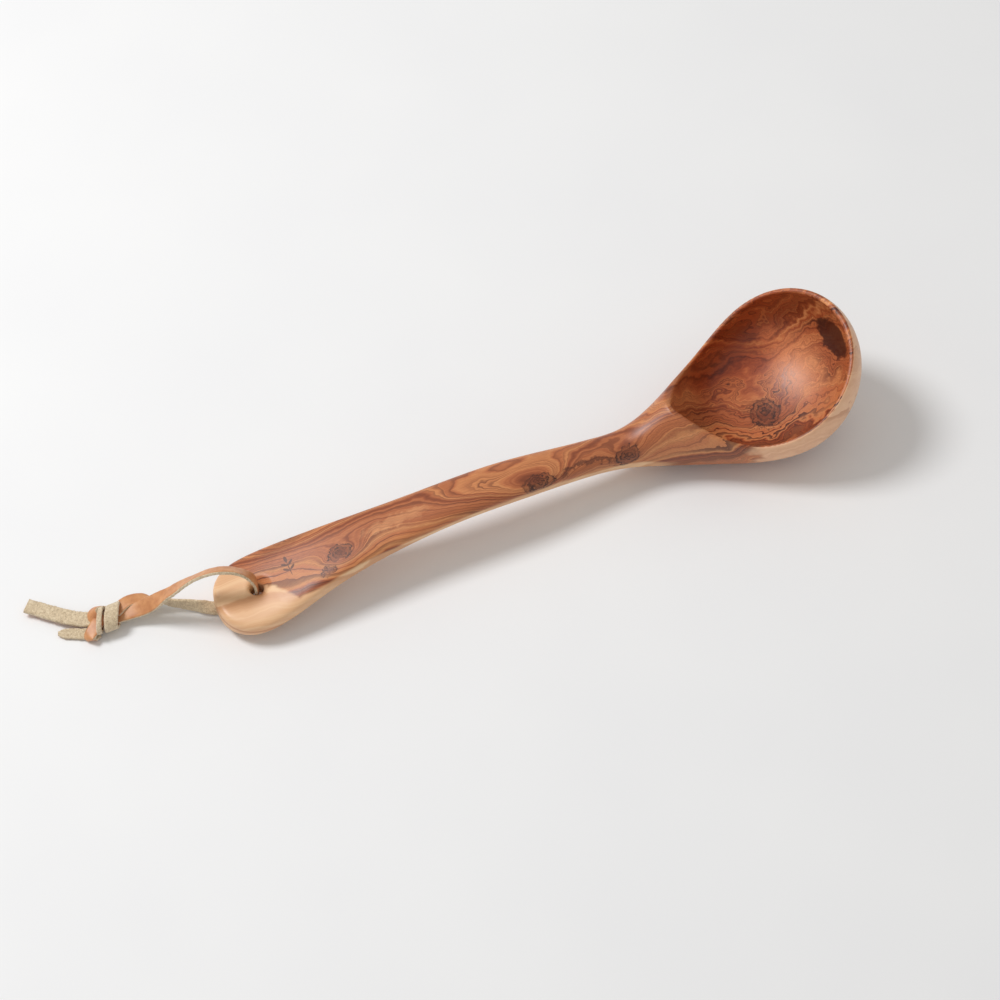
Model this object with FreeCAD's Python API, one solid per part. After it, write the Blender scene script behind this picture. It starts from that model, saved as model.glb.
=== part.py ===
import FreeCAD, Part
import math
import os

# A carved olive-wood soup ladle with a leather hanging thong.
# Frame: X runs along the ladle from the handle end to the bowl's tip, Z is up and
# the plane Z = 0 is the table that the ladle rests on. Millimetres throughout.

# ---- driving dimensions of the wood ----
LENGTH = 320.0
END_RADIUS = 20.5              # plan radius of the rounded handle end
END_SQUARENESS = 2.3           # 2 is a true circle, larger is squarer
END_ROUNDING = 3.0             # how much the end's face is rounded over
HOLE_X = 19.5                  # centre of the hanging hole, from the handle end
HOLE_DIAMETER = 6.5
HOLE_MOUTH_DIAMETER = 10.5     # the hole's countersunk mouths
HOLE_MOUTH_DEPTH = 1.6

BOWL_X = 284.5                 # station where the bowl is widest
BOWL_HALF_WIDTH = 41.0
BOWL_CENTRE_HEIGHT = 32.5      # height of the widest level at BOWL_X
BOWL_LEAN = 0.37               # rise of the widest level per millimetre of length
BOWL_CROWN = 31.0              # height of the full hull over the widest level
BOWL_LOW_X = 263.0             # where the bowl touches the table
REST_FLAT_DEPTH = 0.25         # depth sanded off where the bowl touches the table

NECK_START = 185.0             # the handle's section turns into the bowl's from here
NECK_END = 245.0               # to here
CAVITY_START = 227.2           # the hollow's edge on the neck
CAVITY_END_LENGTH = 18.5       # length of the hollow's rounded neck end
CAVITY_NECK_POWER = 2.35       # squareness of that end in plan
CAVITY_SLOPE_POWER = 1.8       # squareness of the floor's climb towards the neck
CAVITY_BLEND = (235.0, 275.0)  # the hollow's widest level moves from the rim to the bowl's level
RIDGE_CLEARANCE = 0.8          # the hollow's tool starts this far over the rim at the neck
SIDE_WALL = 2.3                # wall at the bowl's sides
TIP_WALL = 2.8                 # wall at the bowl's tip
FLOOR_WALL = 5.0               # wood left under the hollow
CROWN_WALL = 1.5               # the hollow's crown stands this far under the hull's
NECK_CROWN = 10.0              # height of the hollow's crown at its neck end
RIM_ROUNDING = 0.8             # the rounded edges inside and outside the rim

# Half widths in plan, half thicknesses and heights, each as (station, value).
PLAN = [(END_RADIUS, 20.0), (45, 16.9), (80, 12.6), (115, 11.2), (150, 10.6),
        (185, 8.7), (212, 11.1), (240, 22.7), (BOWL_X, BOWL_HALF_WIDTH)]
CENTRE_LINE = [(0, 8.2), (14, 9.1), (50, 17.6), (90, 23.6), (130, 25.6), (170, 22.2), (205, 17.4)]
HALF_THICKNESS = [(0, 5.5), (60, 5.4), (120, 5.5), (205, 7.2)]
UNDER_SHAFT = (150, 170, 190)  # stations where the neck's underside still follows the shaft's
UNDER_NECK = [(215, 9.5), (238, 3.4), (BOWL_LOW_X, 0.0)]
RIM_LINE = [(228, 36.5), (255, 26.7), (285, 40.5), (310, 58.3)]

# Squareness of the cross sections: 2 is an ellipse, larger is squarer.
END_TOP_POWER = 3.8
END_UNDER_POWER = 3.2
SHAFT_TOP_POWER = 2.6
SHAFT_UNDER_POWER = 2.3
BOWL_TOP_POWER = 2.0
BOWL_UNDER_POWER = 2.1
HOLLOW_UNDER_POWER = 2.2
END_FLATNESS = (40.0, 130.0)   # the flat end's section turns into the shaft's between these
UNDER_BLEND = (160.0, 190.0)   # the shaft's underside turns into the neck's between these

SECTION_POINTS = 40
HULL_SECTIONS = 44
CAVITY_SECTIONS = 26
HULL_GAP = 0.06                # the hull's first and last sections stand this far inside its ends
CAVITY_GAP = 0.01              # the same for the hollow
CUTTER_MARGIN = 20.0           # how far the cutting solids reach past the wood
RIM_CUTTER_POINTS = 30
RIM_TOLERANCE = 0.2            # a rim edge's middle lies this close to the rim line


def cubic_line(points, start_slope=None, end_slope=None):
    """A C2 curve through the points; an end with no slope given is left natural."""
    xs = [float(p[0]) for p in points]
    ys = [float(p[1]) for p in points]
    last = len(xs) - 1
    gaps = [xs[i + 1] - xs[i] for i in range(last)]
    rises = [(ys[i + 1] - ys[i]) / gaps[i] for i in range(last)]
    lower = [0.0] * (last + 1)
    middle = [1.0] * (last + 1)
    upper = [0.0] * (last + 1)
    right = [0.0] * (last + 1)
    if start_slope is None:
        middle[0], upper[0], right[0] = 2.0, 1.0, 3.0 * rises[0]
    else:
        right[0] = start_slope
    for i in range(1, last):
        lower[i] = gaps[i]
        middle[i] = 2.0 * (gaps[i - 1] + gaps[i])
        upper[i] = gaps[i - 1]
        right[i] = 3.0 * (gaps[i] * rises[i - 1] + gaps[i - 1] * rises[i])
    if end_slope is None:
        lower[last], middle[last], right[last] = 1.0, 2.0, 3.0 * rises[-1]
    else:
        right[last] = end_slope
    for i in range(1, last + 1):
        share = lower[i] / middle[i - 1]
        middle[i] -= share * upper[i - 1]
        right[i] -= share * right[i - 1]
    slopes = [0.0] * (last + 1)
    slopes[last] = right[last] / middle[last]
    for i in range(last - 1, -1, -1):
        slopes[i] = (right[i] - upper[i] * slopes[i + 1]) / middle[i]

    def line(x):
        if x <= xs[0]:
            return ys[0] + slopes[0] * (x - xs[0])
        if x >= xs[last]:
            return ys[last] + slopes[last] * (x - xs[last])
        i = max(k for k in range(last) if xs[k] <= x)
        t = (x - xs[i]) / gaps[i]
        step = t * t * (3.0 - 2.0 * t)
        start_pull = gaps[i] * slopes[i] * t * (1.0 - t) ** 2
        end_pull = gaps[i] * slopes[i + 1] * t * t * (1.0 - t)
        return ys[i] * (1.0 - step) + ys[i + 1] * step + start_pull - end_pull

    return line


def smooth_step(x, start, end):
    """0 before start and 1 after end, with no jump in slope or curvature."""
    t = min(max((x - start) / (end - start), 0.0), 1.0)
    return t ** 3 * (10.0 - 15.0 * t + 6.0 * t * t)


def round_off(share, power=2.0):
    """The height of a unit superellipse at this share of its half length."""
    return max(1.0 - min(max(share, 0.0), 1.0) ** power, 0.0) ** (1.0 / power)


plan_line = cubic_line(PLAN, start_slope=0.0, end_slope=0.0)
centre_line = cubic_line(CENTRE_LINE)
thickness_line = cubic_line(HALF_THICKNESS)
rim_line = cubic_line(RIM_LINE)


def half_thickness(x):
    """Half the handle's thickness, rounded over at its very end."""
    rounding = END_ROUNDING * (1.0 - round_off(1.0 - x / END_ROUNDING))
    return thickness_line(min(x, NECK_END)) - rounding


def handle_centre(x):
    """Height of the handle's middle; past the shaft's last station it stays level."""
    return centre_line(min(x, CENTRE_LINE[-1][0]))


def handle_under(x):
    """Height of the handle's underside."""
    return handle_centre(x) - half_thickness(x)


under_neck_line = cubic_line([(x, handle_under(x)) for x in UNDER_SHAFT] + UNDER_NECK, end_slope=0.0)


def half_width(x):
    """The hull's half width in plan."""
    if x < END_RADIUS:
        return PLAN[0][1] * round_off(1.0 - x / END_RADIUS, END_SQUARENESS)
    if x > BOWL_X:
        return BOWL_HALF_WIDTH * round_off((x - BOWL_X) / (LENGTH - BOWL_X))
    return plan_line(x)


def bowl_level(x):
    """Height of the bowl's widest level."""
    return BOWL_CENTRE_HEIGHT + BOWL_LEAN * (x - BOWL_X)


def widest_level(x):
    """Height of the hull's widest level: the shaft's middle, then the bowl's level."""
    share = smooth_step(x, NECK_START, NECK_END)
    return handle_centre(x) * (1.0 - share) + bowl_level(x) * share


def crown_height(x):
    """Height of the hull's top over its widest level, before the rim is cut."""
    share = smooth_step(x, NECK_START, NECK_END)
    crown = half_thickness(x) * (1.0 - share) + BOWL_CROWN * share
    if x > BOWL_X:
        crown *= round_off((x - BOWL_X) / (LENGTH - BOWL_X))
    return crown


def under_line(x):
    """Height of the hull's lowest line."""
    if x > BOWL_LOW_X:
        share = (x - BOWL_LOW_X) / (LENGTH - BOWL_LOW_X)
        return bowl_level(LENGTH) * (1.0 - round_off(share)) - REST_FLAT_DEPTH
    share = smooth_step(x, *UNDER_BLEND)
    return (handle_under(x) * (1.0 - share) + under_neck_line(x) * share
            - REST_FLAT_DEPTH * smooth_step(x, UNDER_BLEND[1], BOWL_LOW_X))


def oval(x, half_wide, level, above, below, power_above, power_below):
    """Points round an oval in the plane at x; its four quarters are superellipses."""
    points = []
    for i in range(SECTION_POINTS):
        angle = 2.0 * math.pi * i / SECTION_POINTS - math.pi / 4.0
        power = power_above if math.sin(angle) > 0.0 else power_below
        height = above if math.sin(angle) > 0.0 else below
        across = math.copysign(abs(math.cos(angle)) ** (2.0 / power), math.cos(angle))
        up = math.copysign(abs(math.sin(angle)) ** (2.0 / power), math.sin(angle))
        points.append(FreeCAD.Vector(x - LENGTH / 2.0, half_wide * across, level + height * up))
    return points


def skin_solid(ovals):
    """A solid whose one smooth skin runs through all the ovals, with a flat cap at each end."""
    around = [i / SECTION_POINTS for i in range(SECTION_POINTS + 1)]
    along = [i / (len(ovals) - 1) for i in range(len(ovals))]
    rings = []
    for points in ovals:
        ring = Part.BSplineCurve()
        ring.interpolate(Points=points, PeriodicFlag=True, Parameters=around)
        rings.append(ring)
    lines = []
    for i in range(rings[0].NbPoles):
        line = Part.BSplineCurve()
        line.interpolate(Points=[ring.getPole(i + 1) for ring in rings], Parameters=along)
        lines.append(line)
    surface = Part.BSplineSurface()
    surface.buildFromPolesMultsKnots(
        [line.getPoles() for line in lines], rings[0].getMultiplicities(), lines[0].getMultiplicities(),
        rings[0].getKnots(), lines[0].getKnots(), True, False, 3, 3)
    skin = surface.toShape()
    ends = [edge for edge in skin.Edges if edge.BoundBox.XLength < 0.01]
    shell = Part.Shell([skin] + [Part.Face(Part.Wire([edge])) for edge in ends])
    shell.sewShape()
    solid = Part.Solid(Part.Shell(shell.Faces))
    if solid.Volume < 0.0:
        solid.reverse()
    return solid


def stations(start, end, count):
    """Stations from start to end, closer together towards both rounded ends."""
    return [start + (end - start) * (0.5 - 0.5 * math.cos(math.pi * i / (count - 1))) for i in range(count)]


def make_hull():
    """The whole ladle before the rim is cut and the bowl is hollowed."""
    ovals = []
    for x in stations(HULL_GAP, LENGTH - HULL_GAP, HULL_SECTIONS):
        bowl = smooth_step(x, NECK_START, NECK_END)
        flat = 1.0 - smooth_step(x, *END_FLATNESS)
        top_power = (SHAFT_TOP_POWER + (BOWL_TOP_POWER - SHAFT_TOP_POWER) * bowl
                     + (END_TOP_POWER - SHAFT_TOP_POWER) * flat)
        under_power = (SHAFT_UNDER_POWER + (BOWL_UNDER_POWER - SHAFT_UNDER_POWER) * bowl
                       + (END_UNDER_POWER - SHAFT_UNDER_POWER) * flat)
        level = widest_level(x)
        ovals.append(oval(x, half_width(x), level, crown_height(x), level - under_line(x),
                          top_power, under_power))
    return skin_solid(ovals)


def rim_half_width(x):
    """The hull's half width where the rim line cuts it."""
    share = (rim_line(x) - widest_level(x)) / crown_height(x)
    return half_width(x) * round_off(share)


def make_hollow():
    """The bowl's hollow; it is widest under the rim at the tip and at the rim by the neck."""
    tip = LENGTH - TIP_WALL
    ridge = rim_line(CAVITY_START) + RIDGE_CLEARANCE
    ovals = []
    for x in stations(CAVITY_START + CAVITY_GAP, tip - HULL_GAP, CAVITY_SECTIONS):
        share = smooth_step(x, *CAVITY_BLEND)
        level = (rim_line(x) + RIDGE_CLEARANCE) * (1.0 - share) + widest_level(x) * share
        if x > BOWL_X:
            closing = round_off((x - BOWL_X) / (tip - BOWL_X))
            half_wide = (BOWL_HALF_WIDTH - SIDE_WALL) * closing
        else:
            closing = 1.0
            half_wide = rim_half_width(x) * (1.0 - share) + half_width(x) * share - SIDE_WALL
        neck_share = (CAVITY_START + CAVITY_END_LENGTH - x) / CAVITY_END_LENGTH
        neck_closing = round_off(neck_share, CAVITY_NECK_POWER)
        above = (NECK_CROWN * (1.0 - share) + (BOWL_CROWN - CROWN_WALL) * share) * closing * neck_closing
        if x < BOWL_LOW_X:
            run = (BOWL_LOW_X - x) / (BOWL_LOW_X - CAVITY_START)
            floor = FLOOR_WALL + (ridge - FLOOR_WALL) * (1.0 - round_off(run, CAVITY_SLOPE_POWER))
        else:
            run = (x - BOWL_LOW_X) / (tip - BOWL_LOW_X)
            floor = FLOOR_WALL + (bowl_level(tip) - FLOOR_WALL) * (1.0 - round_off(run))
        ovals.append(oval(x, half_wide * neck_closing, level, above, level - floor,
                          BOWL_TOP_POWER, HOLLOW_UNDER_POWER))
    return skin_solid(ovals)


def make_rim_cutter():
    """Everything above the rim line, from side to side."""
    start = CAVITY_START - CUTTER_MARGIN
    end = LENGTH + CUTTER_MARGIN
    side = BOWL_HALF_WIDTH + CUTTER_MARGIN
    top = 2.0 * rim_line(RIM_LINE[-1][0])
    points = []
    for i in range(RIM_CUTTER_POINTS):
        x = start + (end - start) * i / (RIM_CUTTER_POINTS - 1)
        points.append(FreeCAD.Vector(x - LENGTH / 2.0, -side, rim_line(x)))
    curve = Part.BSplineCurve()
    curve.interpolate(points)
    first_top = FreeCAD.Vector(points[0].x, -side, top)
    last_top = FreeCAD.Vector(points[-1].x, -side, top)
    outline = [curve.toShape(), Part.makeLine(points[-1], last_top),
               Part.makeLine(last_top, first_top), Part.makeLine(first_top, points[0])]
    return Part.Face(Part.Wire(outline)).extrude(FreeCAD.Vector(0.0, 2.0 * side, 0.0))


def rim_edges(wood):
    """The two closed edges that run round the rim: the hull's and the hollow's."""
    found = []
    for edge in wood.Edges:
        middle = edge.valueAt(0.5 * (edge.FirstParameter + edge.LastParameter))
        above_rim = middle.z - rim_line(middle.x + LENGTH / 2.0)
        if edge.Length > LENGTH / 2.0 and abs(above_rim) < RIM_TOLERANCE:
            found.append(edge)
    return found


def make_hole():
    """The hanging hole with its two countersunk mouths, as one turned solid."""
    radius = HOLE_DIAMETER / 2.0
    flare = (HOLE_MOUTH_DIAMETER / 2.0 - radius) / HOLE_MOUTH_DEPTH
    top = centre_line(HOLE_X) + thickness_line(HOLE_X) - HOLE_MOUTH_DEPTH
    bottom = centre_line(HOLE_X) - thickness_line(HOLE_X) + HOLE_MOUTH_DEPTH
    reach = 2.0 * HOLE_MOUTH_DEPTH
    wide = radius + flare * reach
    profile = [(0.0, bottom - reach), (wide, bottom - reach), (radius, bottom),
               (radius, top), (wide, top + reach), (0.0, top + reach)]
    points = [FreeCAD.Vector(across, 0.0, up) for across, up in profile]
    face = Part.Face(Part.makePolygon(points + points[:1]))
    turned = face.revolve(FreeCAD.Vector(), FreeCAD.Vector(0.0, 0.0, 1.0), 360.0)
    turned.translate(FreeCAD.Vector(HOLE_X - LENGTH / 2.0, 0.0, 0.0))
    return turned


def make_ladle():
    """One carved piece: hull, rim, hollow, sanded rest flat and hanging hole."""
    wood = make_hull().cut(make_rim_cutter()).cut(make_hollow())
    wood = wood.makeFillet(RIM_ROUNDING, rim_edges(wood))
    below = Part.makeBox(2.0 * LENGTH, LENGTH, CUTTER_MARGIN,
                         FreeCAD.Vector(-LENGTH, -LENGTH / 2.0, -CUTTER_MARGIN))
    return wood.cut(below).cut(make_hole())


# ---- the thong: one strip of soft leather, doubled through the hole and knotted ----
# The strip is 7 mm wide and 1.8 mm thick. Each strand's solid is a plain round tube along its
# middle; the tails are flat plates and the knot a rounded block. Stations as for the wood.
STRIP_WIDTH = 7.0
STRIP_THICKNESS = 1.8
STRAND_DIAMETER = 2.2
ARC_SHARE = 0.45               # share of the shorter run that an arc takes
UPPER_ROUTE = [(19.5, 0.0, 10.3), (19.5, 0.0, 15.2), (19.2, 0.1, 20.5), (15.8, 1.2, 26.5),
               (8.5, 3.5, 31.2), (0.0, 6.2, 30.6), (-8.8, 9.2, 24.8), (-18.5, 12.3, 16.2),
               (-28.5, 15.5, 8.0), (-36.0, 18.0, 4.9), (-41.8, 18.6, 4.6)]
LOWER_ROUTE = [(19.5, 0.0, 10.3), (19.5, 0.0, 5.4), (18.2, 0.5, 2.1), (13.6, 2.1, 1.3),
               (5.8, 4.5, 1.3), (-3.0, 8.8, 1.3), (-12.0, 14.6, 1.4), (-20.0, 19.6, 2.6),
               (-27.5, 22.8, 4.8), (-34.5, 23.2, 6.0), (-41.2, 21.2, 5.6)]
KNOT_CENTRE = (-46.3, 19.6, 4.6)
KNOT_SIZE = (9.0, 13.5, 8.8)
KNOT_TURN = -15.0              # degrees about Z: the knot's length lies along the strands
KNOT_ROUNDING = 0.28           # edge radius as a share of the knot's smallest size
LONG_TAIL = [(-49.5, 20.3), (-56.5, 22.4), (-65.0, 29.6), (-77.0, 41.0)]
LONG_TAIL_LEVEL = 2.3
SHORT_TAIL = [(-49.5, 17.2), (-57.0, 15.2), (-67.5, 22.8)]
SHORT_TAIL_LEVEL = 0.1


def ladle_point(point):
    """A point given by its station, as a vector in the ladle's frame."""
    return FreeCAD.Vector(point[0] - LENGTH / 2.0, point[1], point[2])


def tube_path(route, name):
    """Straight runs joined by tangent arcs, each as large as its two runs allow."""
    points = [ladle_point(point) for point in route]
    edges = []
    radii = []
    start = points[0]
    for before, corner, after in zip(points, points[1:], points[2:]):
        back = before - corner
        ahead = after - corner
        turn = math.pi - back.getAngle(ahead)
        cut = ARC_SHARE * min(back.Length, ahead.Length)
        radius = cut / math.tan(turn / 2.0)
        radii.append(round(radius, 1))
        back.normalize()
        ahead.normalize()
        arc_start = corner + back * cut
        arc_end = corner + ahead * cut
        inward = back + ahead
        inward.normalize()
        apex = corner + inward * (radius / math.cos(turn / 2.0) - radius)
        edges.append(Part.makeLine(start, arc_start))
        edges.append(Part.Arc(arc_start, apex, arc_end).toShape())
        start = arc_end
    edges.append(Part.makeLine(start, points[-1]))
    path = Part.Wire(edges)
    print(name, "length", round(path.Length, 1), "radii", radii)
    return path


def make_strand(route, name):
    """A plain tube along the strand, with its volume held against section times length."""
    path = tube_path(route, name)
    first = path.Edges[0]
    ring = Part.Wire([Part.makeCircle(STRAND_DIAMETER / 2.0, first.valueAt(first.FirstParameter),
                                      first.tangentAt(first.FirstParameter))])
    tube = path.makePipeShell([ring], True, True)
    expected = math.pi * STRAND_DIAMETER ** 2 / 4.0 * path.Length
    print(name, "volume", round(tube.Volume, 1), "expected", round(expected, 1))
    return tube


def make_knot():
    """The knot's outer shape: a block with well rounded edges."""
    size = FreeCAD.Vector(*KNOT_SIZE)
    block = Part.makeBox(size.x, size.y, size.z, size * -0.5)
    block = block.makeFillet(min(KNOT_SIZE) * KNOT_ROUNDING, block.Edges)
    block.rotate(FreeCAD.Vector(), FreeCAD.Vector(0.0, 0.0, 1.0), KNOT_TURN)
    block.translate(ladle_point(KNOT_CENTRE))
    return block


def make_tail(line, level):
    """A flat plate of the strip's width and thickness along a plan line."""
    left = []
    right = []
    for i, point in enumerate(line):
        before = FreeCAD.Vector(*line[max(i - 1, 0)], 0.0)
        after = FreeCAD.Vector(*line[min(i + 1, len(line) - 1)], 0.0)
        along = after - before
        along.normalize()
        side = FreeCAD.Vector(-along.y, along.x, 0.0) * (STRIP_WIDTH / 2.0)
        middle = ladle_point((point[0], point[1], level))
        left.append(middle + side)
        right.append(middle - side)
    outline = left + right[::-1]
    face = Part.Face(Part.makePolygon(outline + outline[:1]))
    return face.extrude(FreeCAD.Vector(0.0, 0.0, STRIP_THICKNESS))


def main():
    os.makedirs("parts", exist_ok=True)
    parts = {
        "ladle": make_ladle(),
        "thong_upper_strand": make_strand(UPPER_ROUTE, "thong_upper_strand"),
        "thong_lower_strand": make_strand(LOWER_ROUTE, "thong_lower_strand"),
        "thong_knot": make_knot(),
        "thong_long_tail": make_tail(LONG_TAIL, LONG_TAIL_LEVEL),
        "thong_short_tail": make_tail(SHORT_TAIL, SHORT_TAIL_LEVEL),
    }
    for name, shape in parts.items():
        box = shape.BoundBox
        print(name, "valid", shape.isValid(), "solids", len(shape.Solids), "volume", round(shape.Volume),
              "x", round(box.XMin, 1), round(box.XMax, 1), "y", round(box.YMin, 1), round(box.YMax, 1),
              "z", round(box.ZMin, 2), round(box.ZMax, 1))
        shape.exportStep("parts/" + name + ".step")


main()
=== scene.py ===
import bpy
import math
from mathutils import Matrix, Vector, noise


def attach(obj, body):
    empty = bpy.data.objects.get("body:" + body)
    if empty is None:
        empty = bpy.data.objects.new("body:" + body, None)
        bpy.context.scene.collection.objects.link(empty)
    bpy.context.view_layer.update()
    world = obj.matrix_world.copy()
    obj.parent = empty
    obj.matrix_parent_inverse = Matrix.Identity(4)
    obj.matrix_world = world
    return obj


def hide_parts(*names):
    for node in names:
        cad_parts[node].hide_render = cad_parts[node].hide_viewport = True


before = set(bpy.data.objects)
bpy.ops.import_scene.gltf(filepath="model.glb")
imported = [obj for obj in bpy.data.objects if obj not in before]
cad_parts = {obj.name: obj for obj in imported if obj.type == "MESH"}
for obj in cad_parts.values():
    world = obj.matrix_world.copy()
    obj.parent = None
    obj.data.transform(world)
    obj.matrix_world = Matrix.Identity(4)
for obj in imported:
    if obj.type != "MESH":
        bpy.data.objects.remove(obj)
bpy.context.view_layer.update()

MM = 0.001
HALF_LENGTH = 160.0             # the ladle's middle, from its handle end, in millimetres


def place(point):
    """A point given by its station, in the frame, in metres."""
    return Vector(((point[0] - HALF_LENGTH) * MM, point[1] * MM, point[2] * MM))


def linear(red, green, blue):
    """A colour given as 0..255 display values, made linear."""
    return tuple((c / 255.0 / 12.92) if c <= 10 else ((c / 255.0 + 0.055) / 1.055) ** 2.4
                 for c in (red, green, blue))


# ---- the photograph's view: angles in degrees, places in metres ----
VIEW_AZIMUTH = 24.6
VIEW_ELEVATION = 53.3
VIEW_DISTANCE = 1.15
VIEW_AIM = (0.0, 0.0, 0.020)
LENS = 89.5                     # focal length and sensor width, in millimetres
SENSOR = 36.0
LENS_SHIFT = (-0.0402, -0.0235)

# ---- light: places and sizes in metres, power in watts ----
SKY_COLOUR = (1.0, 0.98, 0.95, 1.0)
SKY_STRENGTH = 0.52
KEY_PLACE = (-0.80, 0.61, 1.42)
KEY_AIM = (0.04, 0.0, 0.0)
KEY_SIZE = 0.58
KEY_POWER = 17.4
KEY_COLOUR = (0.985, 0.99, 1.0)
FLOOR_REACH = 6.0
FLOOR_TONES = [(0.3, (0.86, 0.865, 0.875)), (0.7, (0.88, 0.885, 0.89))]

# ---- the leather strip, in millimetres; stations count from the handle end ----
STRIP_WIDTH = 7.0
STRIP_THICKNESS = 1.8
RING_STEP = 0.35                # between the rings of points along a strip
ACROSS_STEPS = 12               # faces across its smooth side, and across its suede side
CUT_EDGE = [(1.03, 0.5), (1.04, 0.0), (1.02, -0.6)]   # across and up, in half widths and thicknesses
EDGE_THINNING = 0.22            # the share of its thickness that a strip loses towards its edges
COARSE_NAP = 1.1                # the sizes of the leather's unevenness
FINE_NAP = 0.45
NAP_SEED = 1                    # any whole number but 0, which would take the clock's
FLOOR_GAP = 0.05                # between the leather and the table
ROUTE_STEPS = 12                # points drawn for each control point of a route
UPPER_ROUTE = [(19.5, 0.0, 10.3), (19.5, 0.0, 15.2), (19.2, 0.1, 20.5), (15.8, 1.2, 26.5),
               (8.5, 3.5, 31.2), (0.0, 6.2, 30.6), (-8.8, 9.2, 24.8), (-18.5, 12.3, 16.2),
               (-28.5, 15.5, 8.0), (-36.0, 18.0, 4.9), (-41.8, 18.6, 4.6)]
LOWER_ROUTE = [(19.5, 0.0, 10.3), (19.5, 0.0, 5.4), (18.2, 0.5, 2.1), (13.6, 2.1, 1.4),
               (6.5, 3.8, 1.4), (0.0, 6.0, 1.8), (-5.5, 8.8, 3.5), (-12.0, 12.6, 4.0),
               (-19.0, 16.6, 4.6), (-26.0, 20.8, 5.6), (-32.0, 22.8, 6.6), (-37.5, 22.2, 6.8),
               (-42.0, 19.6, 6.0)]
LONG_TAIL_ROUTE = [(-46.5, 19.6, 4.2), (-52.0, 21.4, 4.2), (-58.5, 25.0, 3.6), (-66.0, 31.6, 3.0),
                   (-72.5, 38.0, 2.8), (-77.0, 41.8, 3.2)]
SHORT_TAIL_ROUTE = [(-53.6, 15.2, 1.7), (-58.0, 17.4, 1.6), (-62.5, 19.9, 1.5), (-68.5, 22.6, 1.5)]

# where the smooth side looks, as keys of (share of the length, direction)
UPPER_FACING = [(0.0, (0.9, -0.35, 0.0)), (0.10, (0.9, -0.30, 0.2)), (0.30, (0.4, 0.45, 0.8)),
                (0.45, (0.0, 0.60, 0.80)), (0.65, (0.0, 0.20, 1.0)), (0.82, (0.0, -0.35, 0.9)),
                (1.0, (0.0, -0.20, 1.0))]
LOWER_FACING = [(0.0, (0.9, -0.35, 0.0)), (0.10, (0.9, 0.0, -0.5)), (0.22, (0.1, 0.1, -1.0)),
                (0.38, (0.2, 0.35, -1.0)), (0.48, (0.47, 0.80, -0.30)), (0.62, (0.49, 0.84, 0.05)),
                (0.72, (0.40, 0.69, 0.50)), (0.82, (0.10, 0.15, 1.0)), (1.0, (0.0, 0.0, 1.0))]
LONG_TAIL_FACING = [(0.0, (0.1, 0.1, -1.0)), (1.0, (-0.1, 0.05, -1.0))]
SHORT_TAIL_FACING = [(0.0, (0.0, 0.25, -1.0)), (1.0, (0.0, 0.25, -1.0))]

# how wide and thick, as keys of (share of the length, (shares of the strip's width and thickness))
FULL_SIZE = [(0.0, (1.0, 1.0)), (1.0, (1.0, 1.0))]
UPPER_SIZE = [(0.0, (0.80, 0.85)), (0.16, (0.82, 0.85)), (0.30, (1.0, 1.0)), (1.0, (1.0, 1.0))]
LOWER_SIZE = [(0.0, (0.80, 0.85)), (0.22, (0.82, 0.80)), (0.48, (0.84, 0.85)), (0.66, (0.80, 0.85)),
              (0.80, (0.90, 1.0)), (1.0, (0.80, 1.0))]
SHORT_TAIL_SIZE = [(0.0, (0.75, 0.9)), (0.8, (0.66, 0.9)), (1.0, (0.30, 0.7))]

# the knot: two turns round the strands, a lobe at the top left, and a stub that folds under
KNOT_LEAN = 0.45                # how far the turns lean along the strands, for each unit across
TURN_STEPS = 28
BROAD_TURN = ((-43.6, 18.2, 5.6), 5.5, 4.1)
NARROW_TURN = ((-49.2, 18.6, 5.7), 5.6, 4.0)
LOBE_ROUTE = [(-44.5, 24.6, 4.0), (-47.2, 25.4, 6.0), (-50.6, 24.6, 7.0), (-51.8, 22.4, 6.6),
              (-51.0, 20.0, 5.0), (-49.4, 18.4, 3.6)]
LOBE_FACING = [(0.0, (0.2, 0.9, 0.6)), (0.4, (-0.7, 0.5, 0.8)), (1.0, (-0.5, -0.4, 1.0))]
LOBE_SIZE = [(0.0, (0.75, 0.9)), (1.0, (0.85, 0.9))]
STUB_ROUTE = [(-47.0, 20.4, 5.4), (-50.0, 18.6, 5.6), (-53.4, 16.0, 4.8), (-56.2, 13.8, 3.8),
              (-56.8, 12.8, 2.8), (-54.8, 13.2, 1.8), (-52.0, 14.6, 1.5)]
STUB_FACING = [(0.0, (-0.3, -0.2, 1.0)), (0.45, (-0.5, -0.4, 1.0)), (0.70, (-0.9, -0.7, 0.2)),
               (1.0, (0.2, 0.2, -1.0))]
STUB_SIZE = [(0.0, (0.85, 0.9)), (0.6, (0.80, 0.9)), (1.0, (0.45, 0.9))]

# ---- leather colours: ramps are keys of (tone, colour) ----
SMOOTH_LEATHER = [(0.35, linear(190, 126, 80)), (0.55, linear(206, 144, 94)), (0.70, linear(214, 156, 106))]
SUEDE = [(0.36, linear(164, 138, 108)), (0.50, linear(218, 196, 160)), (0.64, linear(244, 228, 200))]

# ---- olive wood, in frame millimetres ----
SKIN_CELL = 0.7                 # of the even skin that the sanding is done on
SANDING_PASSES = 6
BOWL_FIGURE = (60.0, 125.0)     # x over which the handle's figure gives way to the bowl's
ACROSS_LAYERS = (0.03, 0.85, 0.60)
LAYER = 2.7                     # the thickness of a growth layer
RAGGEDNESS = 7.5                # how far the edges of clouds and eyes wander
BOWL_HEART = (125.0, 0.0, 27.0)     # a point inside the hollow, which its walls face
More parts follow.
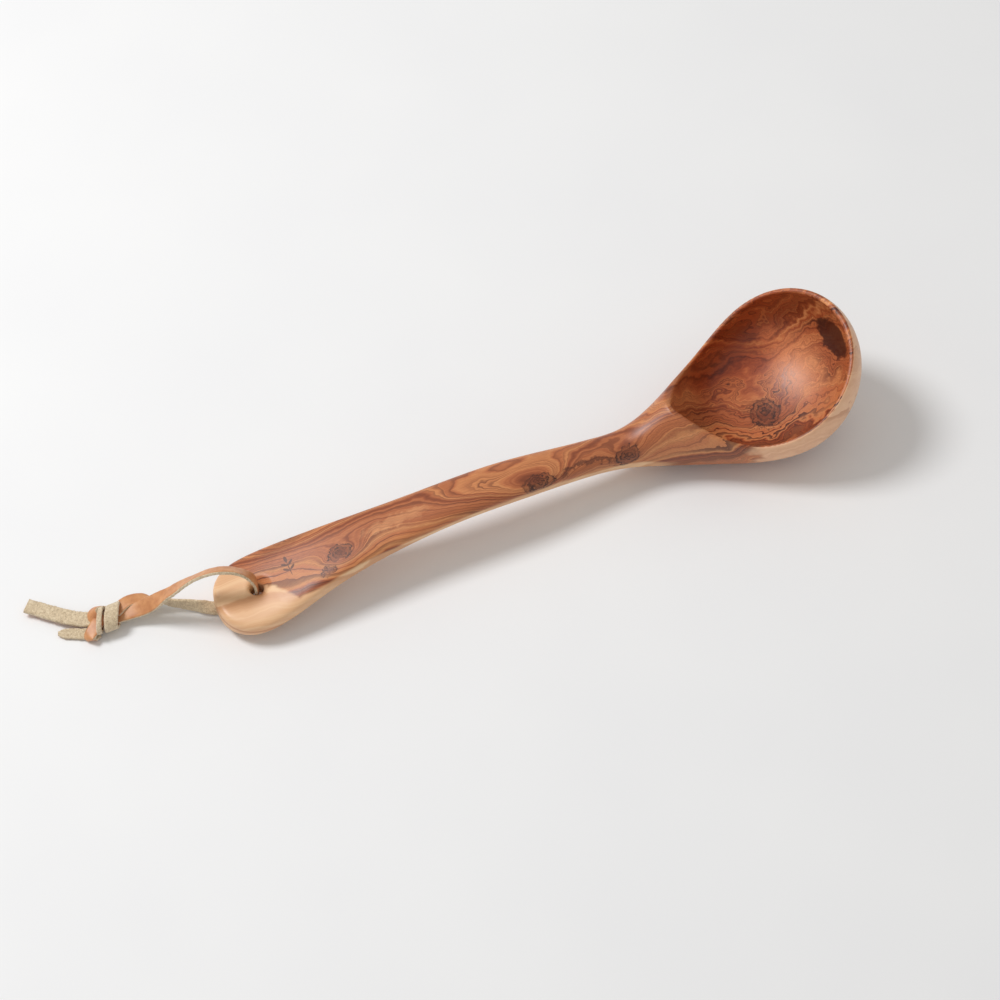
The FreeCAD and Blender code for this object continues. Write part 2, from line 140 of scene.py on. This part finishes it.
# knots in the handle and swirls in the bowl: centre, reach along each axis, and how many
# millimetres of growth they push aside
KNOTS = [((-101.0, -5.5, 25.0), (8.0, 5.0, 7.0), 12.0),
         ((-6.0, -8.0, 28.0), (13.0, 5.5, 8.0), 15.0),
         ((-24.0, -4.5, 30.0), (22.0, 6.5, 8.0), 9.0),
         ((41.0, -7.5, 23.0), (9.0, 5.0, 7.0), 11.0),
         ((118.0, -1.0, 6.0), (13.0, 12.0, 9.0), 15.0),
         ((135.0, 30.0, 23.0), (9.0, 8.0, 9.0), 9.0),
         ((146.0, 12.0, 25.0), (13.0, 12.0, 12.0), -14.0)]
# eyes of the knots: centre, reach along each axis
EYES = [((-101.5, -4.5, 25.0), (6.5, 4.4, 6.0)),
        ((-109.0, -10.5, 22.5), (3.8, 2.8, 4.0)),
        ((-4.5, -8.4, 28.0), (9.0, 4.2, 6.0)),
        ((41.5, -7.4, 23.0), (6.8, 4.2, 6.0)),
        ((118.0, -1.0, 6.0), (8.5, 9.0, 7.0))]
# clouds and stains on the heartwood, one in the bowl partly a painted highlight: centre, reach, colour,
# amount, how soft the edge is
PATCHES = [((110.0, 33.0, 18.0), (16.0, 6.0, 5.5), (196, 124, 84), 0.55, 0.25),
           # a pale cloud in the bowl's wood, partly real figure and partly a painted highlight
           ((139.0, 11.0, 19.0), (14.0, 20.0, 13.0), (255, 190, 134), 0.88, 0.8),
           ((134.0, 31.0, 22.5), (5.5, 4.5, 5.0), (240, 172, 122), 0.85, 0.4),
           ((157.0, 6.5, 36.0), (7.0, 14.0, 8.0), (66, 28, 17), 0.90, 0.18),
           ((-72.0, -1.0, 27.0), (19.0, 3.6, 9.0), (236, 180, 130), 0.60, 0.5),
           ((-124.0, 14.0, 19.0), (14.0, 5.0, 8.0), (112, 60, 38), 0.40, 0.7)]
# painted shade on the outside of the bowl, by its tip, told the same way
TIP_SHADE = ((158.0, 14.0, 44.0), (14.0, 20.0, 20.0), (112, 88, 70), 0.80, 0.75)
CRISP_EDGE = 0.2                # a patch with a softer edge than this lets the layers show through
# the dark wave between the two middle knots
WAVE_MIDDLE = 21.0
WAVE_HALF_LENGTH = 14.0
WAVE_CREST = -5.4               # y at its middle, and how much less at its ends
WAVE_SAG = 2.6
# sapwood lies below this depth under an arch, and past a slanting line across the handle's end
ARCH_MIDDLE = -35.0
ARCH_HEIGHT = 25.6
ARCH_DROP = 0.0014              # for each square millimetre along the handle
NEAR_SIDE_TILT = 0.55
END_LINE_AT = (-133.0, -2.0)
END_LINE_NORMAL = (-0.776, -0.63)
RIM_LINE_HEIGHT = 10.2
# the small sprig burnt into the handle: its middle, and its parts, each with its place across
# and up from the middle, its lean in radians, its half width and its half length
MARK = (-124.0, 1.5)
LEAVES = [(0.0, -0.8, 0.0, 0.22, 4.2), (0.0, 4.4, 0.0, 0.75, 1.7), (-1.5, 2.0, 0.9, 0.6, 1.6),
          (1.5, 2.0, -0.9, 0.6, 1.6), (-1.5, -0.8, 0.9, 0.6, 1.6), (1.5, -0.8, -0.9, 0.6, 1.6)]

HEARTWOOD = [(0.30, linear(126, 66, 38)), (0.41, linear(168, 96, 58)), (0.50, linear(198, 126, 80)),
             (0.60, linear(214, 148, 96)), (0.72, linear(232, 180, 126))]
SAPWOOD = [(0.32, linear(206, 150, 106)), (0.48, linear(226, 178, 134)), (0.66, linear(238, 198, 154))]
SHELL = [(0.30, linear(200, 144, 106)), (0.50, linear(228, 178, 140)), (0.70, linear(240, 196, 158))]
LATE_WOOD = linear(88, 42, 26)
EYE_SURROUND = linear(118, 62, 38)
EYE_RING = linear(70, 34, 21)
WAVE_COLOUR = linear(84, 42, 28)
FIBRE_TINT = linear(120, 70, 44)
RIM_LINE_COLOUR = linear(176, 108, 70)
BURNT = linear(74, 36, 24)
# tints that the colour below is multiplied by, already linear; the one for the far wall is painted shade
WHOLE_TINT = (0.97, 0.86, 0.78)
HOLLOW_TINT = (1.0, 0.84, 0.76)
FAR_WALL_SHADE = (0.84, 0.62, 0.48)


# ---- camera ----
def make_camera():
    """The photograph's view: a long lens, from above the bowl's near side."""
    azimuth = math.radians(VIEW_AZIMUTH)
    elevation = math.radians(VIEW_ELEVATION)
    back = Vector((-math.sin(azimuth) * math.cos(elevation), -math.cos(azimuth) * math.cos(elevation),
                   math.sin(elevation)))
    data = bpy.data.cameras.new("camera")
    data.lens = LENS
    data.sensor_width = SENSOR
    data.shift_x, data.shift_y = LENS_SHIFT
    camera = bpy.data.objects.new("camera", data)
    camera.location = Vector(VIEW_AIM) + back * VIEW_DISTANCE
    camera.rotation_mode = "QUATERNION"
    camera.rotation_quaternion = (-back).to_track_quat("-Z", "Y")
    bpy.context.collection.objects.link(camera)
    bpy.context.scene.camera = camera


# ---- lines and ribbons ----
def nurbs_line(points):
    """Points along the smooth line that has these points as its control points."""
    data = bpy.data.curves.new("route", "CURVE")
    data.dimensions = "3D"
    data.resolution_u = ROUTE_STEPS
    spline = data.splines.new("NURBS")
    spline.points.add(len(points) - 1)
    for control, point in zip(spline.points, points):
        control.co = (*place(point), 1.0)
    spline.order_u = 3
    spline.use_endpoint_u = True
    carrier = bpy.data.objects.new("route", data)
    mesh = bpy.data.meshes.new_from_object(carrier)
    line = [vertex.co.copy() for vertex in mesh.vertices]
    bpy.data.objects.remove(carrier)
    bpy.data.curves.remove(data)
    bpy.data.meshes.remove(mesh)
    return line


def even_line(line, step):
    """The same line with points about one step apart, and its length."""
    runs = [0.0]
    for before, after in zip(line, line[1:]):
        runs.append(runs[-1] + (after - before).length)
    count = max(2, round(runs[-1] / step) + 1)
    points = []
    i = 0
    for k in range(count):
        target = runs[-1] * k / (count - 1)
        while i < len(line) - 2 and runs[i + 1] < target:
            i += 1
        share = (target - runs[i]) / max(runs[i + 1] - runs[i], 1e-12)
        points.append(line[i].lerp(line[i + 1], share))
    return points, runs[-1]


def mix_keys(keys, share):
    """The value at this share of the way between keys of (share, value); values are tuples."""
    for (start, low), (end, high) in zip(keys, keys[1:]):
        if share <= end:
            t = min(max((share - start) / (end - start), 0.0), 1.0)
            t = t * t * (3.0 - 2.0 * t)
            return Vector(low).lerp(Vector(high), t)
    return Vector(keys[-1][1])


def strip_outline():
    """The strip's section, once round: its smooth side, an edge, its suede side, the other edge."""
    across = [-1.0 + 2.0 * k / ACROSS_STEPS for k in range(ACROSS_STEPS + 1)]
    smooth_side = [(place_across, 1.0) for place_across in across]
    suede_side = [(1.0 - 2.0 * k / ACROSS_STEPS, -1.0) for k in range(ACROSS_STEPS + 1)]
    other_edge = [(-place_across, up) for place_across, up in reversed(CUT_EDGE)]
    return smooth_side + CUT_EDGE + suede_side + other_edge


def mesh_piece(name, vertices, faces, slots):
    """A smooth-shaded object in the scene; slots gives each face's material."""
    mesh = bpy.data.meshes.new(name)
    mesh.from_pydata(vertices, [], faces)
    for polygon, slot_index in zip(mesh.polygons, slots):
        polygon.material_index = slot_index
        polygon.use_smooth = True
    mesh.update()
    piece = bpy.data.objects.new(name, mesh)
    bpy.context.collection.objects.link(piece)
    return piece


def strip_mesh(name, points, facing, size, seed, fray=0.16):
    """A strip of leather along a line of points, with its line and its length. facing is where its
    smooth side looks and size is its width and thickness, both as keys along it; seed makes its
    unevenness its own, and fray is how uneven its edges are, in millimetres."""
    line, length = even_line(points, RING_STEP * MM)
    outline = strip_outline()
    around = len(outline)
    last = len(line) - 1
    vertices = []
    for i, centre in enumerate(line):
        share = i / last
        along = (line[min(i + 1, last)] - line[max(i - 1, 0)]).normalized()
        normal = mix_keys(facing, share)
        normal = (normal - along * normal.dot(along)).normalized()
        side = along.cross(normal)
        wide, thick = mix_keys(size, share)
        half_width = 0.5 * STRIP_WIDTH * MM * wide
        half_thick = 0.5 * STRIP_THICKNESS * MM * thick
        for across, up in outline:
            edge = abs(across) ** 6
            lift = up * (1.0 - EDGE_THINNING * edge)
            point = centre + side * (across * half_width) + normal * (lift * half_thick)
            rough = noise.noise_vector(point / (COARSE_NAP * MM) + Vector((seed, 0.0, 0.0)))
            fuzz = noise.noise_vector(point / (FINE_NAP * MM) + Vector((seed, 3.0, 0.0)))
            # the edges are rough, and the smooth side is about a third as uneven as the rest
            amount = fray * MM * (0.15 + 0.85 * edge) * (0.35 if up > 0.9 else 1.0)
            point += (rough + fuzz * 0.8) * amount
            # nothing of it goes into the surface it lies on
            point.z = max(point.z, FLOOR_GAP * MM)
            vertices.append(tuple(point))
    faces = []
    slots = []
    for i in range(last):
        for k in range(around):
            nearer = i * around + k
            beside = i * around + (k + 1) % around
            faces.append((nearer, beside, beside + around, nearer + around))
            slots.append(0 if k < ACROSS_STEPS else 1)
    faces.append(tuple(range(around))[::-1])
    faces.append(tuple(last * around + k for k in range(around)))
    slots += [1, 1]
    return mesh_piece(name, vertices, faces, slots), line, length


# ---- node helper ----
class Shader:
    """A small writer of material nodes: every call adds a node and returns its output socket."""

    def __init__(self, name):
        self.material = bpy.data.materials.new(name)
        self.material.use_nodes = True
        self.tree = self.material.node_tree
        self.tree.nodes.clear()
        output = self.tree.nodes.new("ShaderNodeOutputMaterial")
        self.shader = self.tree.nodes.new("ShaderNodeBsdfPrincipled")
        self.tree.links.new(self.shader.outputs[0], output.inputs["Surface"])

    def put(self, socket, value):
        if isinstance(value, bpy.types.NodeSocket):
            self.tree.links.new(value, socket)
        elif value is not None:
            socket.default_value = value

    def math(self, operation, first, second=None, third=None):
        node = self.tree.nodes.new("ShaderNodeMath")
        node.operation = operation
        for socket, value in zip(node.inputs, (first, second, third)):
            self.put(socket, value)
        return node.outputs[0]

    def times(self, *factors):
        """The product of these, taken from left to right."""
        product = factors[0]
        for factor in factors[1:]:
            product = self.math("MULTIPLY", product, factor)
        return product

    def vector(self, operation, first, second=None, scale=None):
        node = self.tree.nodes.new("ShaderNodeVectorMath")
        node.operation = operation
        self.put(node.inputs[0], first)
        self.put(node.inputs[1], second)
        if scale is not None:
            self.put(node.inputs["Scale"], scale)
        return node.outputs["Value"] if operation in ("LENGTH", "DOT_PRODUCT") else node.outputs[0]

    def away(self, point, centre, reach):
        """The way from a centre to a point, counted in reaches along each axis."""
        return self.vector("DIVIDE", self.vector("SUBTRACT", point, centre), reach)

    def shift(self, colour_noise, size):
        """A colour noise made into a shift of this size, either way along each axis."""
        return self.vector("SCALE", self.vector("SUBTRACT", colour_noise, (0.5, 0.5, 0.5)), scale=size)

    def split(self, vector):
        node = self.tree.nodes.new("ShaderNodeSeparateXYZ")
        self.put(node.inputs[0], vector)
        return node.outputs

    def join(self, x, y, z):
        node = self.tree.nodes.new("ShaderNodeCombineXYZ")
        for socket, value in zip(node.inputs, (x, y, z)):
            self.put(socket, value)
        return node.outputs[0]

    def noise(self, vector, scale, detail, roughness=0.5, colour=False):
        node = self.tree.nodes.new("ShaderNodeTexNoise")
        self.put(node.inputs["Vector"], vector)
        self.put(node.inputs["Scale"], scale)
        self.put(node.inputs["Detail"], detail)
        self.put(node.inputs["Roughness"], roughness)
        return node.outputs["Color" if colour else "Fac"]

    def noise_line(self, value, scale, detail, roughness=0.5):
        """Noise along one number, as growth layers have it."""
        node = self.tree.nodes.new("ShaderNodeTexNoise")
        node.noise_dimensions = "1D"
        self.put(node.inputs["W"], value)
        self.put(node.inputs["Scale"], scale)
        self.put(node.inputs["Detail"], detail)
        self.put(node.inputs["Roughness"], roughness)
        return node.outputs["Fac"]

    def chance(self, value):
        """A number from 0 to 1 for each whole value."""
        node = self.tree.nodes.new("ShaderNodeTexWhiteNoise")
        node.noise_dimensions = "1D"
        self.put(node.inputs["W"], value)
        return node.outputs["Value"]

    def cells(self, vector, scale):
        node = self.tree.nodes.new("ShaderNodeTexVoronoi")
        self.put(node.inputs["Vector"], vector)
        self.put(node.inputs["Scale"], scale)
        return node.outputs["Distance"]

    def span(self, value, low, high, to_low=0.0, to_high=1.0, smooth=True):
        """value carried from low..high to to_low..to_high, held at both ends."""
        node = self.tree.nodes.new("ShaderNodeMapRange")
        node.interpolation_type = "SMOOTHSTEP" if smooth else "LINEAR"
        node.clamp = True
        for socket, number in zip(node.inputs, (value, low, high, to_low, to_high)):
            self.put(socket, number)
        return node.outputs[0]

    def fall(self, value, low, high):
        """1 up to low, then smoothly down to 0 at high."""
        return self.span(value, low, high, 1.0, 0.0)

    def ramp(self, value, stops):
        node = self.tree.nodes.new("ShaderNodeValToRGB")
        self.put(node.inputs[0], value)
        elements = node.color_ramp.elements
        while len(elements) < len(stops):
            elements.new(0.5)
        for element, (place_along, colour) in zip(elements, stops):
            element.position = place_along
            element.color = (*colour, 1.0)
        return node.outputs[0]

    def blend(self, factor, first, second, mode="MIX"):
        node = self.tree.nodes.new("ShaderNodeMix")
        node.data_type = "RGBA"
        node.blend_type = mode
        self.put(node.inputs["Factor"], factor)
        # sockets 6 and 7 are the node's two colours
        for index, colour in ((6, first), (7, second)):
            self.put(node.inputs[index],
                     colour if isinstance(colour, bpy.types.NodeSocket) else (*colour, 1.0))
        return node.outputs[2]

    def bump(self, height, strength, distance):
        node = self.tree.nodes.new("ShaderNodeBump")
        node.inputs["Strength"].default_value = strength
        node.inputs["Distance"].default_value = distance
        self.put(node.inputs["Height"], height)
        return node.outputs[0]

    def position(self):
        """The point on the piece, in millimetres in the frame; keeps where its surface faces."""
        node = self.tree.nodes.new("ShaderNodeTexCoord")
        self.facing = node.outputs["Normal"]
        return self.vector("SCALE", node.outputs["Object"], scale=1.0 / MM)

    def finish(self, colour, roughness, normal, **settings):
        self.put(self.shader.inputs["Base Color"], colour)
        self.put(self.shader.inputs["Roughness"], roughness)
        self.put(self.shader.inputs["Normal"], normal)
        for name, value in settings.items():
            self.shader.inputs[name.replace("_", " ")].default_value = value
        return self.material


# ---- olive wood ----
class OliveWood(Shader):
    """The ladle's wood. Each layer takes the colour under it and returns the colour with it on."""

    def __init__(self):
        super().__init__("olive_wood")
        self.point = self.position()
        self.x, self.y, self.z = self.split(self.point)
        self.bowl = self.span(self.x, *BOWL_FIGURE)
        self.growth = self.growth_distance()
        self.layers = self.noise_line(self.growth, 0.17, 3.0, 0.60)
        edge_noise = self.noise(self.point, 0.28, 4.0, 0.62, colour=True)
        self.ragged = self.vector("ADD", self.point, self.shift(edge_noise, RAGGEDNESS))
        self.wander = self.grain((0.03, 0.1, 0.1), 3.0)
        self.fibre = self.grain((0.12, 2.2, 2.2), 3.0, 0.6)
        side = self.vector("MULTIPLY", self.facing, (1.0, 1.0, 0.0))
        from_heart = self.vector("SUBTRACT", self.point, BOWL_HEART)
        self.outward = self.vector("DOT_PRODUCT", side, from_heart)

    def grain(self, fineness, detail, roughness=0.5, colour=False):
        """Noise drawn out along the ladle: fineness is along each axis, per millimetre."""
        return self.noise(self.vector("MULTIPLY", self.point, fineness), 1.0, detail, roughness, colour)

    def growth_distance(self):
        """The distance across the growth layers, in millimetres. The grain is drawn out along the
        handle and curls in the bowl, and every knot pushes it aside."""
        slow = self.grain((0.011, 0.030, 0.030), 2.0, colour=True)
        curl = self.grain((0.050, 0.075, 0.075), 3.0, 0.55, colour=True)
        fine = self.grain((0.16, 0.30, 0.30), 2.0, colour=True)
        drift = self.shift(slow, 22.0)
        curl = self.shift(curl, self.math("MULTIPLY_ADD", self.bowl, 19.0, 5.0))
        fine = self.shift(fine, self.math("MULTIPLY_ADD", self.bowl, 4.0, 1.0))
        drifted = self.vector("ADD", self.point, drift)
        warped = self.vector("ADD", drifted, self.vector("ADD", curl, fine))
        growth = self.vector("DOT_PRODUCT", warped, ACROSS_LAYERS)
        for centre, reach, push in KNOTS:
            away = self.away(self.vector("ADD", self.point, fine), centre, reach)
            squared = self.vector("DOT_PRODUCT", away, away)
            near = self.math("POWER", math.e, self.times(squared, -0.5))
            growth = self.math("MULTIPLY_ADD", near, push, growth)
        return growth

    def heartwood(self):
        """Each growth layer darkens towards its late edge and ends in a crisp line."""
        colour = self.ramp(self.layers, HEARTWOOD)
        uneven = self.noise_line(self.math("ADD", self.growth, 90.0), 0.13, 2.0)
        count = self.math("DIVIDE", self.math("MULTIPLY_ADD", uneven, 16.0, self.growth), LAYER)
        along_layer = self.math("FRACT", count)
        strength = self.chance(self.math("FLOOR", count))
        late = self.times(self.span(along_layer, 0.30, 0.97), self.fall(along_layer, 0.97, 1.0))
        patchy = self.span(self.grain((0.02, 0.06, 0.06), 1.0), 0.35, 0.65)
        late = self.times(late, self.math("MULTIPLY_ADD", self.times(strength, patchy), 0.62, 0.24))
        late = self.times(late, self.math("MULTIPLY_ADD", self.bowl, 0.45, 1.0))
        return self.blend(late, colour, LATE_WOOD)

    def patch(self, under, centre, reach, tint, amount, soft):
        """A soft or sharp-edged cloud of another colour."""
        away = self.vector("LENGTH", self.away(self.ragged, centre, reach))
        inside = self.fall(away, 1.0 - soft, 1.0 + 0.3 * soft)
        cloudy = self.span(self.layers, 0.36, 0.60, 0.55, 1.0) if soft > CRISP_EDGE else 1.0
        return self.blend(self.times(inside, amount, cloudy), under, linear(*tint))

    def eye(self, under, centre, reach):
        """The eye of a knot: thin dark rings, crowded and ragged, in a dark surround."""
        away = self.vector("LENGTH", self.away(self.ragged, centre, reach))
        inside = self.fall(away, 0.85, 1.10)
        ring = self.math("FRACT", self.times(away, 3.3))
        line = self.times(self.span(ring, 0.25, 0.85), self.fall(ring, 0.93, 1.0))
        line = self.times(line, self.span(self.noise(self.point, 0.22, 2.0), 0.36, 0.54, 0.45, 1.0))
        surround = self.times(inside, self.span(away, 0.2, 1.0, 0.75, 0.35))
        colour = self.blend(surround, under, EYE_SURROUND)
        return self.blend(self.times(inside, line), colour, EYE_RING)

    def wave(self, under):
        """The dark wave between the two middle knots."""
        across = self.math("DIVIDE", self.math("SUBTRACT", self.x, WAVE_MIDDLE), WAVE_HALF_LENGTH)
        crest = self.math("MULTIPLY_ADD", self.times(across, across), -WAVE_SAG, WAVE_CREST)
        off = self.math("ABSOLUTE", self.math("SUBTRACT", self.split(self.ragged)[1], crest))
        ends = self.fall(self.math("ABSOLUTE", across), 0.85, 1.1)
        return self.blend(self.times(self.fall(off, 0.25, 1.2), ends, 0.70), under, WAVE_COLOUR)

    def fibres(self, under):
        return self.blend(self.span(self.fibre, 0.35, 0.75, 0.0, 0.30, False), under, FIBRE_TINT,
                          "MULTIPLY")

    def hollow(self, under):
        """The hollow is darker and redder, most of all on its far wall, where the extra darkening is painted
        shade.
        """
        inside = self.times(self.fall(self.outward, 4.0, 8.0), self.span(self.x, 84.0, 96.0))
        colour = self.blend(1.0, under, WHOLE_TINT, "MULTIPLY")
        colour = self.blend(self.times(inside, 0.85), colour, HOLLOW_TINT, "MULTIPLY")
        # painted shade on the hollow's far wall, fading out towards the tip
        far_wall_shade = self.times(self.span(self.y, 4.0, 26.0), self.span(self.x, 128.0, 152.0, 1.0, 0.15))
        return self.blend(self.times(inside, far_wall_shade), colour, FAR_WALL_SHADE, "MULTIPLY")

    def sapwood(self, under):
        """Pale sapwood: the handle's end, its near side and underneath."""
        along = self.math("ADD", self.x, -ARCH_MIDDLE)
        arch = self.math("MULTIPLY_ADD", self.times(along, along), -ARCH_DROP, ARCH_HEIGHT)
        depth = self.math("ADD", self.times(self.y, NEAR_SIDE_TILT), self.math("SUBTRACT", self.z, arch))
        depth = self.math("MULTIPLY_ADD", self.wander, 5.0, self.math("SUBTRACT", depth, 2.5))
        near_side = self.fall(depth, -6.0, -4.2)
        end_line = self.math("ADD", self.times(self.math("ADD", self.x, -END_LINE_AT[0]), END_LINE_NORMAL[0]),
                             self.times(self.math("ADD", self.y, -END_LINE_AT[1]), END_LINE_NORMAL[1]))
        end_line = self.math("ADD", end_line, self.times(self.math("SUBTRACT", self.wander, 0.5), 9.0))
        sap = self.math("MAXIMUM", near_side, self.span(end_line, 0.3, 2.2))
        sap = self.times(sap, self.fall(self.x, 52.0, 66.0))
        return self.blend(sap, under, self.ramp(self.layers, SAPWOOD))

    def rim_line(self, under):
        """Heartwood comes through as a thin brown line along the end's rim."""
        height = self.math("MULTIPLY_ADD", self.wander, 2.0, self.z)
        off = self.math("ABSOLUTE", self.math("SUBTRACT", height, RIM_LINE_HEIGHT))
        line = self.times(self.fall(off, 0.2, 1.0), self.fall(self.x, -136.0, -126.0),
                          self.fall(self.y, 2.0, 8.0), 0.55)
        return self.blend(line, under, RIM_LINE_COLOUR)

    def sprig(self, under):
        """A small sprig burnt in where makers put their marks, on the top only."""
        colour = under
        for leaf_x, leaf_y, lean, half_width, half_length in LEAVES:
            leaf = self.vector("SUBTRACT", self.point, (MARK[0] + leaf_x, MARK[1] + leaf_y, 0.0))
            wide = self.vector("DOT_PRODUCT", leaf, (math.cos(lean), math.sin(lean), 0.0))
            tall = self.vector("DOT_PRODUCT", leaf, (-math.sin(lean), math.cos(lean), 0.0))
            shape = self.vector("LENGTH", self.join(self.math("DIVIDE", wide, half_width),
                                                    self.math("DIVIDE", tall, half_length), 0.0))
            burnt = self.times(self.span(shape, 0.85, 1.1, 0.85, 0.0), self.span(self.z, 15.0, 16.0))
            colour = self.blend(burnt, colour, BURNT)
        return colour

    def shell(self, under):
        """Outside of the bowl: paler wood, brown under the neck, with painted shade at the far side of the
        tip.
        """
        outside = self.times(self.span(self.outward, 14.0, 20.0),
                             self.span(self.math("MULTIPLY_ADD", self.wander, 22.0, self.x), 103.0, 109.0))
        near_or_tip = self.math("MAXIMUM", self.span(self.x, 140.0, 150.0), self.fall(self.y, 0.0, 6.0))
        # the paler wood, with painted shade laid over it at the tip
        pale = self.patch(self.ramp(self.layers, SHELL), *TIP_SHADE)
        return self.blend(self.times(outside, near_or_tip), under, pale)


def olive_wood():
    s = OliveWood()
    colour = s.heartwood()
    for cloud in PATCHES:
        colour = s.patch(colour, *cloud)
    for centre, reach in EYES:
        colour = s.eye(colour, centre, reach)
    for layer in (s.wave, s.fibres, s.hollow, s.sapwood, s.rim_line, s.sprig, s.shell):
        colour = layer(colour)
    pores = s.grain((0.7, 5.0, 5.0), 2.0, 0.7)
    height = s.math("ADD", s.times(s.fibre, 0.5), s.span(pores, 0.3, 0.45, -1.0, 0.0))
    roughness = s.span(s.layers, 0.3, 0.7, 0.36, 0.48)
    return s.finish(colour, roughness, s.bump(height, 0.12, 0.0002), Coat_Weight=0.08, Coat_Roughness=0.35)


def dress_ladle():
    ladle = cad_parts["ladle"]
    ladle.data.materials.clear()
    ladle.data.materials.append(olive_wood())
    # sanding has softened the ridge between neck and hollow
    skin = ladle.modifiers.new("even skin", "REMESH")
    skin.mode = "VOXEL"
    skin.voxel_size = SKIN_CELL * MM
    skin.use_smooth_shade = True
    sanding = ladle.modifiers.new("sanding", "SMOOTH")
    sanding.factor = 0.5
    sanding.iterations = SANDING_PASSES


# ---- leather ----
def leather_smooth():
    s = Shader("leather_smooth")
    point = s.position()
    colour = s.ramp(s.noise(point, 0.25, 3.0, 0.6), SMOOTH_LEATHER)
    grain = s.cells(point, 2.4)
    pores = s.noise(point, 6.0, 3.0, 0.6)
    height = s.math("ADD", s.times(grain, 0.8), s.times(pores, 0.4))
    return s.finish(colour, 0.42, s.bump(height, 0.25, 0.00012), Coat_Weight=0.08, Coat_Roughness=0.3)


def leather_suede():
    s = Shader("leather_suede")
    point = s.position()
    tone = s.noise(point, 0.9, 4.0, 0.65)
    nap = s.noise(point, 3.2, 4.0, 0.7)
    colour = s.ramp(s.math("MULTIPLY_ADD", nap, 0.55, s.times(tone, 0.45)), SUEDE)
    fuzz = s.noise(point, 7.0, 4.0, 0.75)
    return s.finish(colour, 0.92, s.bump(s.math("ADD", nap, fuzz), 0.7, 0.0003), Sheen_Weight=0.35,
                    Sheen_Roughness=0.6)


def add_leather(piece, smooth, suede):
    piece.data.materials.append(smooth)
    piece.data.materials.append(suede)
    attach(piece, "thong")


def make_thong():
    noise.seed_set(NAP_SEED)
    smooth = leather_smooth()
    suede = leather_suede()
    upper, upper_line, upper_length = strip_mesh("upper_strand", nurbs_line(UPPER_ROUTE), UPPER_FACING,
                                                 UPPER_SIZE, 1.0)
    lower, lower_line, lower_length = strip_mesh("lower_strand", nurbs_line(LOWER_ROUTE), LOWER_FACING,
                                                 LOWER_SIZE, 2.0)
    long_tail, _, _ = strip_mesh("long_tail", nurbs_line(LONG_TAIL_ROUTE), LONG_TAIL_FACING, FULL_SIZE,
                                 3.0, 0.28)
    short_tail, _, _ = strip_mesh("short_tail", nurbs_line(SHORT_TAIL_ROUTE), SHORT_TAIL_FACING,
                                  SHORT_TAIL_SIZE, 4.0, 0.25)
    knot = make_knot()
    for piece in (upper, lower, long_tail, short_tail, knot):
        add_leather(piece, smooth, suede)
    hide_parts("thong_upper_strand")
    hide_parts("thong_lower_strand")
    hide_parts("thong_long_tail")
    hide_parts("thong_short_tail")
    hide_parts("thong_knot")


def join_pieces(name, pieces):
    """One object made of several pieces' meshes."""
    vertices = []
    faces = []
    slots = []
    for piece in pieces:
        offset = len(vertices)
        vertices += [tuple(vertex.co) for vertex in piece.data.vertices]
        for polygon in piece.data.polygons:
            faces.append(tuple(offset + index for index in polygon.vertices))
            slots.append(polygon.material_index)
        bpy.data.objects.remove(piece)
    return mesh_piece(name, vertices, faces, slots)


def wrap(turn, width, seed):
    """One turn of the strip round the strands, smooth side in, leaning with the knot. A turn is its
    centre and how far it reaches across and up; width is a share of the strip's."""
    centre, reach_y, reach_z = turn
    line = []
    facing = []
    for k in range(TURN_STEPS + 1):
        angle = 2.0 * math.pi * k / TURN_STEPS - 0.5 * math.pi
        y = reach_y * math.cos(angle)
        z = reach_z * math.sin(angle)
        line.append(place((centre[0] + KNOT_LEAN * y, centre[1] + y, centre[2] + z)))
        facing.append((k / TURN_STEPS, (0.0, -math.cos(angle) / reach_y, -math.sin(angle) / reach_z)))
    return strip_mesh("turn", line, facing, [(0.0, (width, 0.9)), (1.0, (width, 0.9))], seed)[0]


def make_knot():
    """The overhand knot as it is seen: turns, a lobe and a stub, each a stretch of the same strip."""
    turns = [wrap(BROAD_TURN, 0.86, 5.0),
             wrap(NARROW_TURN, 0.32, 6.0),
             strip_mesh("turn", nurbs_line(LOBE_ROUTE), LOBE_FACING, LOBE_SIZE, 7.0)[0],
             strip_mesh("turn", nurbs_line(STUB_ROUTE), STUB_FACING, STUB_SIZE, 8.0)[0]]
    return join_pieces("knot", turns)


# ---- stage ----
def make_stage():
    mesh = bpy.data.meshes.new("floor")
    corners = [(-FLOOR_REACH, -FLOOR_REACH, 0.0), (FLOOR_REACH, -FLOOR_REACH, 0.0),
               (FLOOR_REACH, FLOOR_REACH, 0.0), (-FLOOR_REACH, FLOOR_REACH, 0.0)]
    mesh.from_pydata(corners, [], [(0, 1, 2, 3)])
    floor = bpy.data.objects.new("floor", mesh)
    bpy.context.collection.objects.link(floor)
    s = Shader("paper")
    tone = s.noise(s.position(), 0.01, 2.0)
    floor.data.materials.append(s.finish(s.ramp(tone, FLOOR_TONES), 0.9, None))


def add_lamp(name, position, aim, size, power, colour):
    data = bpy.data.lights.new(name, "AREA")
    data.shape = "DISK"
    data.size = size
    data.energy = power
    data.color = colour
    lamp = bpy.data.objects.new(name, data)
    lamp.location = position
    lamp.rotation_mode = "QUATERNION"
    lamp.rotation_quaternion = (Vector(position) - Vector(aim)).to_track_quat("Z", "Y")
    bpy.context.collection.objects.link(lamp)


def make_light():
    world = bpy.data.worlds.new("studio")
    world.use_nodes = True
    world.node_tree.nodes["Background"].inputs["Color"].default_value = SKY_COLOUR
    world.node_tree.nodes["Background"].inputs["Strength"].default_value = SKY_STRENGTH
    bpy.context.scene.world = world
    add_lamp("key", KEY_PLACE, KEY_AIM, KEY_SIZE, KEY_POWER, KEY_COLOUR)
    # colours are shown as they are, so that the pale floor stays pale
    bpy.context.scene.view_settings.view_transform = "Standard"


make_camera()
make_thong()
dress_ladle()
make_stage()
make_light()
